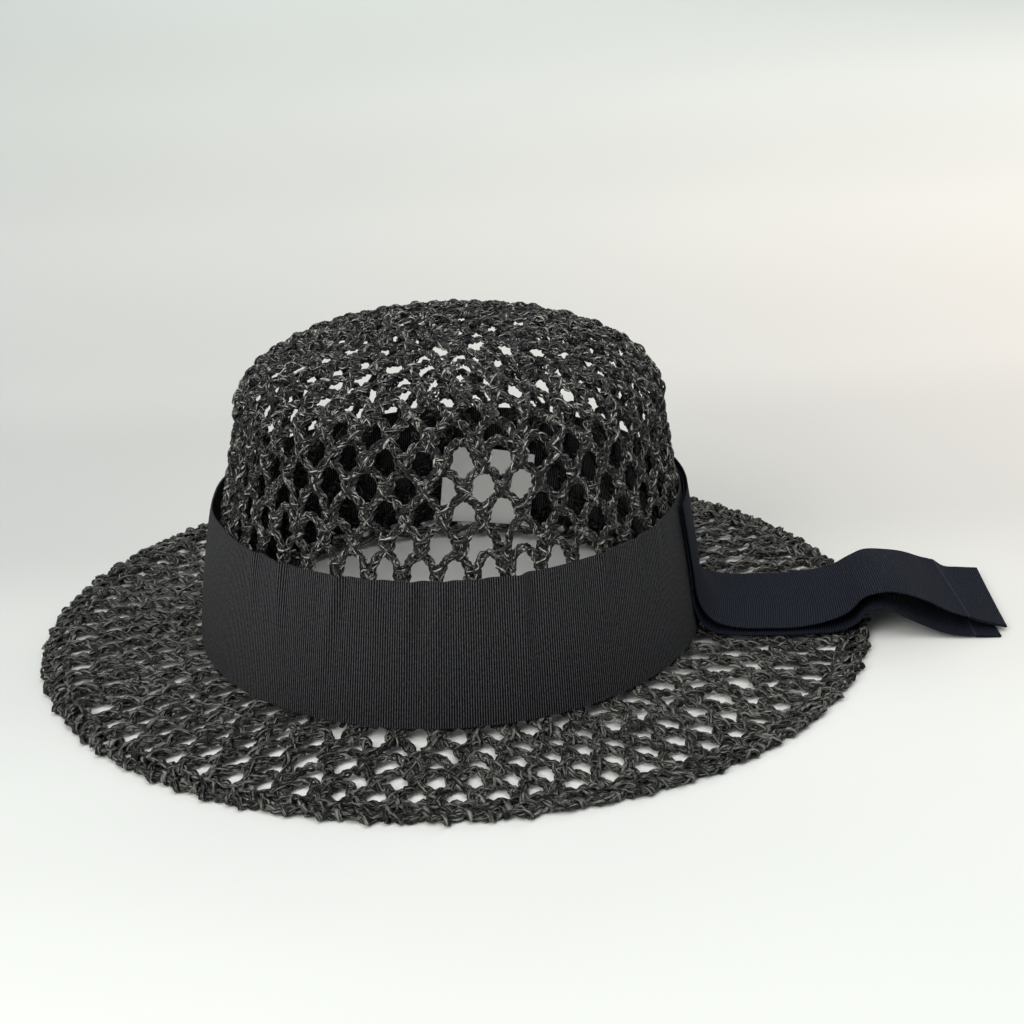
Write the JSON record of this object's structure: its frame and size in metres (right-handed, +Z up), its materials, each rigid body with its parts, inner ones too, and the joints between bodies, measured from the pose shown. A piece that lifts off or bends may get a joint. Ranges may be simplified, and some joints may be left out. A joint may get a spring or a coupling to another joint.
{
  "type": "boater hat",
  "caption": "Round-crowned boater hat of coarse knotted net with a flat oval brim, a wide ribbon band and two ribbon tails that lie over the back of the brim.",
  "frame": {"origin": "middle of the whole length, tails included, and of the width, at the level of the surface the brim rests on; the crown's axis is 28.7 mm towards -X", "axes": "+X from the front of the hat to the back, where the ribbon tails lie; +Y to the hat's right side as worn facing -X; +Z up through the crown"},
  "size_m": [0.387, 0.296, 0.1257],
  "materials": {
    "yarn": "twisted black paper yarn with a dull sheen",
    "ribbon": "matte black grosgrain",
    "label": "matte white woven tape"
  },
  "bodies": {
    "root": {"crown": "yarn", "brim": "yarn", "brim_edge": "yarn", "hat_band": "ribbon", "tail_upper": "ribbon", "tail_lower": "ribbon", "care_label": "label"}
  },
  "joints": []
}
